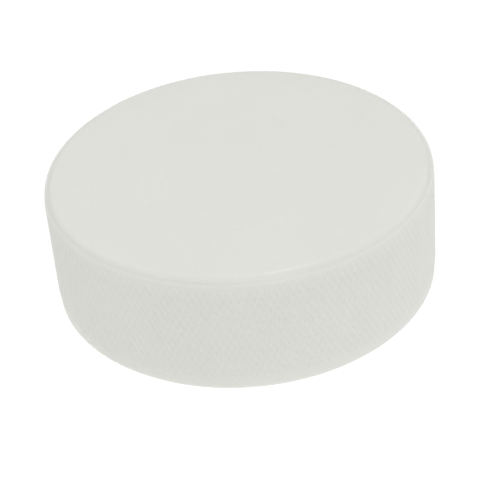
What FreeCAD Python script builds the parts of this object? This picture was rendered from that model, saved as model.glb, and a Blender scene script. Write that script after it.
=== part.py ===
"""A regulation ice hockey puck in white rubber.

The puck is one solid moulding: a flat disc with two bare faces, a rounded bevel about each of them, and a
side that is knurled all round so that a stick's tape grips it. The knurl is a net of raised ridges: as many
lean left as lean right, they cross, and every mesh of the net is a small diamond-shaped pit. The knurl lies
a little nearer to the top face than to the bottom one.

The axis of the disc is Z. The origin is the centre of the bottom face, and all sizes are in millimetres.
"""

import FreeCAD, Part
import math
import os

DIAMETER = 76.2  # over the tops of the ridges: 3 in
THICKNESS = 25.4  # face to face: 1 in

BEVEL_RADIUS = 1.85  # the bevel is an arc that runs smoothly out of the face
BEVEL_TURN = 70  # degrees that the arc turns through before it meets the side

RIDGE_HEIGHT = 0.3  # from the plain side up to the tops of the ridges
RIDGES_PER_HAND = 172  # left-hand ridges, and the same number of right-hand ones
RIDGE_ROWS = 16  # rows of crossings over the height, so each diamond is two rows tall
TOP_MARGIN = 1.4  # from the top face down to the knurl, which starts just below the bevel
BOTTOM_MARGIN = 2.7  # from the bottom face up to the knurl, above a plain band
KNURL_STEP = 0.12  # the small step where the knurl rises from the plain side

SIDE_RADIUS = DIAMETER / 2 - RIDGE_HEIGHT
RIDGE_RADIUS = DIAMETER / 2
END_RADIUS = SIDE_RADIUS + KNURL_STEP
FACE_RADIUS = SIDE_RADIUS - BEVEL_RADIUS * math.sin(math.radians(BEVEL_TURN))
ROW_HEIGHT = (THICKNESS - TOP_MARGIN - BOTTOM_MARGIN) / RIDGE_ROWS
POINTS_PER_ROW = 2 * RIDGES_PER_HAND  # crossings and pits take turns round a row
ORIGIN = FreeCAD.Vector(0, 0, 0)
MIDDLE = FreeCAD.Vector(0, 0, THICKNESS / 2)
UP = FreeCAD.Vector(0, 0, 1)


def bevel_point(turn):
    """The point of the upper bevel's section where the surface has turned so many degrees from the face."""
    angle = math.radians(turn)
    drop = BEVEL_RADIUS * (1 - math.cos(angle))
    return FreeCAD.Vector(FACE_RADIUS + BEVEL_RADIUS * math.sin(angle), 0, THICKNESS - drop)


def upper_rim(margin):
    """The top face, its bevel and the plain band above the knurl, turned from a section in the XZ plane."""
    start, middle, end = [bevel_point(turn) for turn in (0, BEVEL_TURN / 2, BEVEL_TURN)]
    section = Part.Wire([
        Part.makeLine(FreeCAD.Vector(0, 0, THICKNESS), start),
        Part.Arc(start, middle, end).toShape(),
        Part.makeLine(end, FreeCAD.Vector(SIDE_RADIUS, 0, THICKNESS - margin)),
    ])
    return section.revolve(ORIGIN, UP, 360)


def lower_rim(margin):
    """The bottom face, its bevel and plain band, which mirror the top ones but for the band's height."""
    return upper_rim(margin).mirror(MIDDLE, UP)


def row_height(row):
    return BOTTOM_MARGIN + row * ROW_HEIGHT


def row_point(row, step, radius):
    """The point of a row that is so many steps round it, at the given radius."""
    angle = step * 2 * math.pi / POINTS_PER_ROW
    return FreeCAD.Vector(radius * math.cos(angle), radius * math.sin(angle), row_height(row))


def crossing(row, step):
    """Where two ridges cross. In the end rows the ridges have run down to the step."""
    is_end = row in (0, RIDGE_ROWS)
    return row_point(row, step, END_RADIUS if is_end else RIDGE_RADIUS)


def pit(row, step):
    """The lowest point of a diamond."""
    is_end = row in (0, RIDGE_ROWS)
    return row_point(row, step, END_RADIUS if is_end else SIDE_RADIUS)


def triangle(a, b, c):
    return Part.Face(Part.makePolygon([a, b, c, a]))


def diamond(row, step):
    """The flanks of one diamond, which run down from the four ridges round it to its lowest point."""
    low = pit(row, step)
    left = crossing(row, step - 1)
    right = crossing(row, step + 1)
    flanks = []
    if row < RIDGE_ROWS:
        top = crossing(row + 1, step)
        flanks += [triangle(low, top, left), triangle(low, right, top)]
    if row > 0:
        bottom = crossing(row - 1, step)
        flanks += [triangle(low, left, bottom), triangle(low, bottom, right)]
    return flanks


def knurl():
    """The net of ridges. The diamonds of each row stand half a diamond round from those of the next."""
    faces = []
    for row in range(RIDGE_ROWS + 1):
        first = (row + 1) % 2
        for step in range(first, POINTS_PER_ROW, 2):
            faces += diamond(row, step)
    return faces


def knurl_step(row):
    """The narrow flat ring that joins an end row of the knurl to the plain side."""
    outline = [row_point(row, step, END_RADIUS) for step in range(POINTS_PER_ROW)]
    outer = Part.makePolygon(outline + outline[:1])
    inner = Part.Wire(Part.makeCircle(SIDE_RADIUS, FreeCAD.Vector(0, 0, row_height(row))))
    return Part.makeFace([outer, inner], "Part::FaceMakerBullseye")


def puck_body():
    """The whole puck: its faces, bevels and plain bands, closed by the knurl."""
    faces = upper_rim(TOP_MARGIN).Faces + lower_rim(BOTTOM_MARGIN).Faces
    faces += [knurl_step(0), knurl_step(RIDGE_ROWS)]
    faces += knurl()
    return Part.Solid(Part.makeShell(faces))


def main():
    os.makedirs("parts", exist_ok=True)
    body = puck_body()
    print("puck_body: closed and valid", body.isValid(), "volume in cubic mm", round(body.Volume))
    body.exportStep("parts/puck_body.step")


main()
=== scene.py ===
# A white rubber ice hockey puck on a white studio floor. The CAD node gives the puck's place and outer size,
# and the one piece made here stands for it. The piece adds what only shows close up: soft ridges and flat pit
# floors in the knurl, a mould seam and a soft shoulder at each bevel, and the mottled skin of moulded rubber.

import math

import bpy
import numpy as np
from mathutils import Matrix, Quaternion, Vector


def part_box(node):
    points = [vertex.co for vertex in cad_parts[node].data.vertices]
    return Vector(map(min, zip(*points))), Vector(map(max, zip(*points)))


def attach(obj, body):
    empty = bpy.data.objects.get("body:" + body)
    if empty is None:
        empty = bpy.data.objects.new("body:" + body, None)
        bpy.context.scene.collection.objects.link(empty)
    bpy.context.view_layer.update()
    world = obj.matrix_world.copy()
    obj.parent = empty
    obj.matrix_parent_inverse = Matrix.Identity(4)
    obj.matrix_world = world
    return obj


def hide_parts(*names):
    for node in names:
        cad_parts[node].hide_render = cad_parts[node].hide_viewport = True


MM = 0.001  # sizes are in metres

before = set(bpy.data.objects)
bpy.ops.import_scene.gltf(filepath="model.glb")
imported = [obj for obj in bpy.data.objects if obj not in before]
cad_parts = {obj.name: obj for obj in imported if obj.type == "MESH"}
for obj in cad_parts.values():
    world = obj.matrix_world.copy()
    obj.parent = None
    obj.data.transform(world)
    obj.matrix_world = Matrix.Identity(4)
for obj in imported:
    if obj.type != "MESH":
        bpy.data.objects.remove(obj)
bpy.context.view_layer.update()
LOW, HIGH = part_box("puck_body")
MIDDLE = (LOW + HIGH) / 2
THICKNESS = HIGH.z - LOW.z
CREST_RADIUS = (HIGH.x - LOW.x) / 2  # out to the tops of the ridges; an inset is measured in from there

# The rims. Each bevel is an arc that runs out of the face to a fine mould seam, and a shoulder goes on from
# there. The top one meets the knurl, and the bottom one meets a plain band below the knurl
BEVEL_RADIUS = 1.85 * MM
BEVEL_INSET = 2.04 * MM  # of the edge of the face, where the arc starts
BEVEL_CUTS = 7
SEAM_TURN = math.radians(58)  # how far the arc has turned at the seam
SHOULDER = ((34, 0.10), (34, 0.10), (64, 0.20))  # stretches: degrees turned from the face, and width in mm
FACE_MARGIN = 1.0 * MM  # width of the face's outermost ring
FACE_RINGS = 8  # rings of points inside that one
BAND_INSET = 0.22 * MM  # of the plain band
BAND_DEPTH = 1.3 * MM  # from the bottom face up to the band

# The knurl
RIDGES = 172  # in each hand
RIDGE_ROWS = 16  # rows of crossings
RIDGE_HEIGHT = 0.13 * MM  # from the pit floors to the crests
RIDGE_CREST = 0.03  # half the width of a ridge's top, as a share of the way to the next ridge
RIDGE_FOOT = 0.27  # the same for its foot
LOWER_HAND = 0.6  # height of a ridge that leans right, as a share of one that leans left
TOP_MARGIN = 1.4 * MM  # from the top face to the knurl
BOTTOM_MARGIN = 2.7 * MM  # from the bottom face to the knurl
END_INSET = 0.16 * MM  # of the knurl's two ends
STEP_HEIGHT = 0.14 * MM  # of the step from the plain band up to the knurl
RUN_OUT = 0.4 * MM  # the height over which the pits grow shallow towards an end
TAPER = 1.8 * MM  # the height over which the side narrows towards an end
TAPER_POWER = 2.5  # how much of that lies close to the end
CUTS = 5  # points from one ridge to the next
RIDGE_PULL = 0.35  # how strongly points are drawn to the ridges

FACE_RADIUS = CREST_RADIUS - BEVEL_INSET
BAND_RADIUS = CREST_RADIUS - BAND_INSET
END_RADIUS = CREST_RADIUS - END_INSET
ROW_HEIGHT = (THICKNESS - TOP_MARGIN - BOTTOM_MARGIN) / RIDGE_ROWS
RING = RIDGES * CUTS  # points in a row, round the puck
ROWS = RIDGE_ROWS * CUTS  # steps from row to row, over the knurl

# The kinds of skin, kept at each point for the material. The crests and the plain band are matt
SMOOTH = 0.0
MATT = 0.5
PIT = 1.0


# ---------------------------------------------------------------- the puck's surface

def drawn_to_ridges(place):
    """Lattice places moved towards the nearest ridge. Whole and half numbers stay where they are."""
    return place - RIDGE_PULL * np.sin(2 * math.pi * place) / (2 * math.pi)


def lattice(row):
    """Places of one row of points among the left-hand and the right-hand ridges, in ridges."""
    across = 2 * np.arange(RING) + row % 2
    left = (row + across) / 2 / CUTS
    right = (row - across) / 2 / CUTS
    return drawn_to_ridges(left), drawn_to_ridges(right)


def ridge(place):
    """Height of the ridge at each place, from 0 in the pit to 1 on the crest."""
    away = np.abs(place - np.round(place))
    slope = np.clip((RIDGE_FOOT - away) / (RIDGE_FOOT - RIDGE_CREST), 0, 1)
    return slope * slope * (3 - 2 * slope)


def knurl_row(row):
    """Angles, radii, heights and skin of one row of points."""
    left, right = lattice(row)
    angles = math.pi * (left - right) / RIDGES
    heights = LOW.z + BOTTOM_MARGIN + ROW_HEIGHT * (left + right)
    to_end = np.minimum(heights - LOW.z - BOTTOM_MARGIN, HIGH.z - TOP_MARGIN - heights)
    taper = 1 - (1 - np.clip(to_end / TAPER, 0, 1)) ** TAPER_POWER
    fade = np.sin(np.clip(to_end / RUN_OUT, 0, 1) * math.pi / 2)
    pits = fade * (1 - ridge(left)) * (1 - LOWER_HAND * ridge(right))
    radii = END_RADIUS + (CREST_RADIUS - END_RADIUS) * taper - RIDGE_HEIGHT * pits
    return angles, radii, heights, MATT + (PIT - MATT) * pits


def rim_section():
    """The face's edge, the bevel and the shoulder, outwards, as (radius, depth from the face)."""
    section = [(FACE_RADIUS - FACE_MARGIN, 0)]
    for i in range(BEVEL_CUTS + 1):
        turn = SEAM_TURN * i / BEVEL_CUTS
        section.append((FACE_RADIUS + BEVEL_RADIUS * math.sin(turn), BEVEL_RADIUS * (1 - math.cos(turn))))
    for degrees, width in SHOULDER:
        radius, depth = section[-1]
        turn = math.radians(degrees)
        section.append((radius + width * MM * math.cos(turn), depth + width * MM * math.sin(turn)))
    return section


def plain_band():
    """The band between the lower shoulder and the knurl, and the middle of the step up to the knurl."""
    end = BOTTOM_MARGIN - STEP_HEIGHT
    step = ((BAND_RADIUS + END_RADIUS) / 2, end + STEP_HEIGHT / 2)
    return [(BAND_RADIUS, BAND_DEPTH), (BAND_RADIUS, end), step]


class Surface:
    """Collects rings of points, the skin at each point, and the faces between the rings."""

    def __init__(self):
        self.points = []
        self.skins = []
        self.faces = []
        self.count = 0

    def add(self, angles, radii, heights, skins=SMOOTH):
        """Adds one ring, and returns the number of its first point."""
        first = self.count
        radii = np.broadcast_to(radii, angles.shape)
        heights = np.broadcast_to(heights, angles.shape)
        self.points.append(np.stack([radii * np.cos(angles), radii * np.sin(angles), heights], 1))
        self.skins.append(np.broadcast_to(skins, angles.shape))
        self.count += len(angles)
        return first

    def join(self, inner, outer, size, is_top):
        """Quads between two rings of the same size. The inner one is nearer to the middle of the face."""
        lower, upper = (outer, inner) if is_top else (inner, outer)
        for i in range(size):
            j = (i + 1) % size
            self.faces.append((lower + i, lower + j, upper + j, upper + i))

    def cap(self, corners, is_top):
        """One flat face. Its corners are given in the order that suits the top."""
        self.faces.append(tuple(corners if is_top else reversed(corners)))


def beside(row, i):
    """Which points of the next row lie to the left and to the right of point i of this row."""
    right = (i + row % 2) % RING
    return (right - 1) % RING, right


def add_knurl(surface):
    """The band of ridges and pits. Returns the first point of each row.

    Each quad spans three rows, because its edges lie along the ridges. Triangles fill the band's two ends.
    """
    rows = [surface.add(*knurl_row(row)) for row in range(ROWS + 1)]
    for row in range(ROWS - 1):
        for i in range(RING):
            left, right = beside(row, i)
            corners = (rows[row] + i, rows[row + 1] + right, rows[row + 2] + i, rows[row + 1] + left)
            surface.faces.append(corners)
    for i in range(RING):
        surface.faces.append((rows[0] + i, rows[0] + (i + 1) % RING, rows[1] + i))
        left, right = beside(ROWS - 1, i)
        surface.faces.append((rows[-2] + i, rows[-1] + right, rows[-1] + left))
    return rows


def add_rim(surface, angles, knurl_end, is_top):
    """Everything from an end of the knurl to the face's outermost ring, whose first point it returns."""
    section = [(*point, SMOOTH) for point in rim_section()]
    if not is_top:
        section += [(*point, MATT) for point in plain_band()]
    outer = knurl_end
    for radius, depth, skin in reversed(section):
        height = HIGH.z - depth if is_top else LOW.z + depth
        inner = surface.add(angles, radius, height, skin)
        surface.join(inner, outer, RING, is_top)
        outer = inner
    return outer


def add_face(surface, angles, edge, is_top):
    """The flat face inside its outermost ring: rings with one point per ridge, and a fan in the middle."""
    height = HIGH.z if is_top else LOW.z
    edge_radius = FACE_RADIUS - FACE_MARGIN
    radii = [edge_radius * (1 - i / (FACE_RINGS + 1)) for i in range(1, FACE_RINGS + 1)]
    rings = [surface.add(angles[::CUTS], radius, height) for radius in radii]
    for i in range(RIDGES):
        wide = [edge + (i * CUTS + k) % RING for k in range(CUTS + 1)]
        surface.cap([*wide, rings[0] + (i + 1) % RIDGES, rings[0] + i], is_top)
    for outer, inner in zip(rings, rings[1:]):
        surface.join(inner, outer, RIDGES, is_top)
    centre = surface.add(np.zeros(1), 0.0, height)
    for i in range(RIDGES):
        surface.cap([rings[-1] + i, rings[-1] + (i + 1) % RIDGES, centre], is_top)


def puck_surface():
    """The whole skin of the puck, closed."""
    surface = Surface()
    rows = add_knurl(surface)
    for row, is_top in ((0, False), (ROWS, True)):
        angles = knurl_row(row)[0]
        edge = add_rim(surface, angles, rows[row], is_top)
        add_face(surface, angles, edge, is_top)
    return surface


def add_puck():
    """The puck as one object. Its points keep their skin for the material."""
    surface = puck_surface()
    mesh = bpy.data.meshes.new("puck")
    mesh.from_pydata(np.concatenate(surface.points).tolist(), [], surface.faces)
    mesh.update()
    skin = mesh.attributes.new("skin", "FLOAT", "POINT")
    skin.data.foreach_set("value", np.concatenate(surface.skins).astype(np.float32))
    mesh.polygons.foreach_set("use_smooth", np.ones(len(mesh.polygons), dtype=bool))
    mesh.materials.append(rubber())
    puck = bpy.data.objects.new("puck", mesh)
    bpy.context.scene.collection.objects.link(puck)
    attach(puck, "root")
    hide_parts("puck_body")


# ---------------------------------------------------------------- materials

COLOUR_A, COLOUR_B, COLOUR_RESULT = 6, 7, 2  # the Mix node's colour sockets, whose names others have too

# How many lumps each noise has in a metre, and the two values that most of a noise lies between
CLOUDS = 55
SPECKS = 900
GRAINS = 5200
FLOOR_CLOUDS = 6
USUAL = (0.3, 0.7)

# The rubber's colours. A share is how far a colour covers the ones before it where it is strongest
DARKER_PATCHES = (0.745, 0.752, 0.703)
PALER_PATCHES = (0.765, 0.768, 0.722)
SPECK_COLOUR = (0.70, 0.705, 0.635)
SPECK_VALUES = (0.55, 0.75)  # the noise where specks start, and where they are strongest
SPECK_SHARE = 0.28
# Painted shade: the pits are darkened in colour, standing in for the shade that falls in them
PAINTED_PIT_SHADE = (0.63, 0.635, 0.565)
PIT_START = 0.6  # the skin where pits start
PIT_SHADE_SHARE = 0.10
# Painted light: a paler colour along each shoulder stands in for the light that falls there
PAINTED_LIGHT_COLOUR = (0.82, 0.82, 0.775)
PAINTED_LIGHT_SHARE = 0.40

# The rubber's roughness, from the least to the most
SMOOTH_ROUGHNESS = (0.14, 0.17)
MATT_ROUGHNESS = (0.68, 0.78)

# The stripe of painted light on each shoulder, by depth from the nearer face
LIT_STRIPE_START = 0.80 * MM
LIT_STRIPE_PEAK = 0.95 * MM
LIT_STRIPE_END = 4.2 * MM

# The floor is grey paint with a white glow, which is strongest close to the puck: a painted pool of light
# where the puck's shadow would fall
FLOOR_GREYS = ((0.29, 0.29, 0.29), (0.31, 0.31, 0.31))
GLOW_RADII = (45 * MM, 85 * MM)  # the glow fades between these distances from the puck's axis
GLOWS = (0.80, 0.72)  # inside the first of them and beyond the second


def new_material(name):
    """A material, its node tree and its Principled shader."""
    material = bpy.data.materials.new(name)
    material.use_nodes = True
    tree = material.node_tree
    shader = next(node for node in tree.nodes if node.type == "BSDF_PRINCIPLED")
    return material, tree, shader


def noise(tree, place, scale, detail):
    """Smooth noise with so many lumps in a metre. More detail adds finer lumps."""
    node = tree.nodes.new("ShaderNodeTexNoise")
    node.inputs["Scale"].default_value = scale
    node.inputs["Detail"].default_value = detail
    tree.links.new(place, node.inputs["Vector"])
    return node.outputs["Fac"]


def mapped(tree, value, low, high, to_low=0, to_high=1):
    """A value's stretch from low to high brought to another stretch, and held at its ends."""
    node = tree.nodes.new("ShaderNodeMapRange")
    tree.links.new(value, node.inputs["Value"])
    for name, number in (("From Min", low), ("From Max", high), ("To Min", to_low), ("To Max", to_high)):
        node.inputs[name].default_value = number
    return node.outputs["Result"]


def calculated(tree, operation, first, second=None):
    """The Math node's result for an output and, if it takes two, a second output or number."""
    node = tree.nodes.new("ShaderNodeMath")
    node.operation = operation
    tree.links.new(first, node.inputs[0])
    if isinstance(second, float):
        node.inputs[1].default_value = second
    elif second is not None:
        tree.links.new(second, node.inputs[1])
    return node.outputs[0]


def blend_colours(tree, factor, first, second):
    """Mixes two colours, each a constant or another node's output."""
    node = tree.nodes.new("ShaderNodeMix")
    node.data_type = "RGBA"
    tree.links.new(factor, node.inputs["Factor"])
    for number, colour in ((COLOUR_A, first), (COLOUR_B, second)):
        if isinstance(colour, tuple):
            node.inputs[number].default_value = (*colour, 1)
        else:
            tree.links.new(colour, node.inputs[number])
    return node.outputs[COLOUR_RESULT]


def painted_light_stripe(tree, place):
    """The share of the paler colour that is painted light on each shoulder. It sets in at each seam and fades
    out along the side.
    """
    split = tree.nodes.new("ShaderNodeSeparateXYZ")
    tree.links.new(place, split.inputs[0])
    away = calculated(tree, "ABSOLUTE", calculated(tree, "SUBTRACT", split.outputs["Z"], MIDDLE.z))
    face = THICKNESS / 2
    fading = mapped(tree, away, face - LIT_STRIPE_END, face - LIT_STRIPE_PEAK, 0, PAINTED_LIGHT_SHARE)
    past_seam = mapped(tree, away, face - LIT_STRIPE_PEAK, face - LIT_STRIPE_START, 1, 0)
    return calculated(tree, "MULTIPLY", fading, past_seam)


def rubber_colour(tree, place, skin, specks):
    """A faint mottle with duller specks, painted shade in the pits, and a paler stripe of painted light on
    each shoulder.
    """
    clouds = noise(tree, place, CLOUDS, detail=3)
    mottled = blend_colours(tree, mapped(tree, clouds, *USUAL), DARKER_PATCHES, PALER_PATCHES)
    speckles = mapped(tree, specks, *SPECK_VALUES, 0, SPECK_SHARE)
    speckled = blend_colours(tree, speckles, mottled, SPECK_COLOUR)
    # painted shade in the pits
    body = blend_colours(tree, mapped(tree, skin, PIT_START, PIT, 0, PIT_SHADE_SHARE), speckled, PAINTED_PIT_SHADE)
    # painted light along each shoulder
    return blend_colours(tree, painted_light_stripe(tree, place), body, PAINTED_LIGHT_COLOUR)


def rubber_roughness(tree, skin, specks):
    """Smooth skin has a satin gloss, and all the rest is matt. Specks make both uneven."""
    node = tree.nodes.new("ShaderNodeMix")
    tree.links.new(mapped(tree, skin, SMOOTH, MATT), node.inputs["Factor"])
    tree.links.new(mapped(tree, specks, *USUAL, *SMOOTH_ROUGHNESS), node.inputs["A"])
    tree.links.new(mapped(tree, specks, *USUAL, *MATT_ROUGHNESS), node.inputs["B"])
    return node.outputs["Result"]


def fine_grain(tree, place):
    """The normal of a skin with grain too small for the mesh."""
    bump = tree.nodes.new("ShaderNodeBump")
    bump.inputs["Strength"].default_value = 0.15
    bump.inputs["Distance"].default_value = 0.03 * MM
    tree.links.new(noise(tree, place, GRAINS, detail=2), bump.inputs["Height"])
    return bump.outputs["Normal"]


def rubber():
    """White moulded rubber, which lets light in a little way."""
    material, tree, shader = new_material("white_rubber")
    place = tree.nodes.new("ShaderNodeTexCoord").outputs["Object"]
    attribute = tree.nodes.new("ShaderNodeAttribute")
    attribute.attribute_name = "skin"
    skin = attribute.outputs["Fac"]
    specks = noise(tree, place, SPECKS, detail=2)
    tree.links.new(rubber_colour(tree, place, skin, specks), shader.inputs["Base Color"])
    tree.links.new(rubber_roughness(tree, skin, specks), shader.inputs["Roughness"])
    tree.links.new(fine_grain(tree, place), shader.inputs["Normal"])
    shader.inputs["Specular IOR Level"].default_value = 0.22
    shader.inputs["Subsurface Weight"].default_value = 0.4
    shader.inputs["Subsurface Radius"].default_value = (1.0, 0.95, 0.8)
    shader.inputs["Subsurface Scale"].default_value = 1.0 * MM
    return material


def floor_paint():
    """Matt paint, barely uneven, with a white glow that is painted light, strongest close to the puck."""
    material, tree, shader = new_material("floor_paint")
    place = tree.nodes.new("ShaderNodeTexCoord").outputs["Object"]
    colour = blend_colours(tree, noise(tree, place, FLOOR_CLOUDS, detail=2), *FLOOR_GREYS)
    tree.links.new(colour, shader.inputs["Base Color"])
    shader.inputs["Roughness"].default_value = 0.9
    shader.inputs["Specular IOR Level"].default_value = 0.1
    shader.inputs["Emission Color"].default_value = (1, 1, 1, 1)
    distance = tree.nodes.new("ShaderNodeVectorMath")
    distance.operation = "LENGTH"
    tree.links.new(place, distance.inputs[0])
    glow = mapped(tree, distance.outputs["Value"], *GLOW_RADII, *GLOWS)
    tree.links.new(glow, shader.inputs["Emission Strength"])
    return material


# ---------------------------------------------------------------- the studio

FLOOR_SIZE = 6.0
AMBIENT_COLOUR = (0.983, 0.987, 1.0)
AMBIENT_STRENGTH = 0.47

CAMERA_ELEVATION = math.radians(34.56)
CAMERA_ROLL = math.radians(-5.28)
CAMERA_DISTANCE = 342.0 * MM
CAMERA_LENS = 127.0  # in mm, as is the sensor
CAMERA_SENSOR = 36.0
AIM_DOWN = math.radians(0.82)  # the puck sits a little above the middle of the picture
AIM_RIGHT = math.radians(0.035)


def add_floor():
    """A wide flat floor at the height of the puck's bottom face."""
    mesh = bpy.data.meshes.new("studio_floor")
    half = FLOOR_SIZE / 2
    corners = [(-half, -half, LOW.z), (half, -half, LOW.z), (half, half, LOW.z), (-half, half, LOW.z)]
    mesh.from_pydata(corners, [], [(0, 1, 2, 3)])
    mesh.materials.append(floor_paint())
    floor = bpy.data.objects.new("studio_floor", mesh)
    bpy.context.scene.collection.objects.link(floor)


def add_softbox(name, direction, distance, size, power):
    """An area light that faces the puck from the given direction. Its size is its width and height."""
    light = bpy.data.lights.new(name, "AREA")
    light.shape = "RECTANGLE"
    light.size, light.size_y = size
    light.energy = power
    lamp = bpy.data.objects.new(name, light)
    lamp.location = MIDDLE + Vector(direction).normalized() * distance
    lamp.rotation_mode = "QUATERNION"
    lamp.rotation_quaternion = (MIDDLE - lamp.location).to_track_quat("-Z", "Y")
    bpy.context.scene.collection.objects.link(lamp)


def add_lights():
    """Even light from all round, a wide ceiling light, two weak softboxes and a strip behind the puck.

    The strip is what the front bevel mirrors, as one short highlight.
    """
    world = bpy.data.worlds.new("studio")
    world.use_nodes = True
    background = world.node_tree.nodes["Background"]
    background.inputs["Color"].default_value = (*AMBIENT_COLOUR, 1)
    background.inputs["Strength"].default_value = AMBIENT_STRENGTH
    bpy.context.scene.world = world
    add_softbox("overhead", (0, 0, 1), distance=0.9, size=(3.0, 3.0), power=15.3)
    add_softbox("right", (1.0, -0.1, 0.55), distance=1.0, size=(0.5, 0.5), power=0.28)
    add_softbox("front", (0.2, -0.6, 0.8), distance=1.0, size=(0.5, 0.5), power=0.85)
    add_softbox("rim_light", (0.06, 0.615, 0.785), distance=0.8, size=(0.02, 0.09), power=0.15)


def add_camera():
    """The photograph's camera, which looks down at the puck from in front and is turned a little."""
    back = Vector((0, -math.cos(CAMERA_ELEVATION), math.sin(CAMERA_ELEVATION)))
    camera = bpy.data.objects.new("camera", bpy.data.cameras.new("camera"))
    camera.data.sensor_width = CAMERA_SENSOR
    camera.data.lens = CAMERA_LENS
    camera.data.clip_start = 10 * MM
    camera.location = MIDDLE + back * CAMERA_DISTANCE
    camera.rotation_mode = "QUATERNION"
    roll = Quaternion((0, 0, 1), CAMERA_ROLL)
    aim = Quaternion((0, 1, 0), -AIM_RIGHT) @ Quaternion((1, 0, 0), -AIM_DOWN)
    camera.rotation_quaternion = (-back).to_track_quat("-Z", "Y") @ roll @ aim
    bpy.context.scene.collection.objects.link(camera)
    bpy.context.scene.camera = camera


add_puck()
add_floor()
add_lights()
add_camera()
bpy.context.scene.view_settings.view_transform = "Standard"
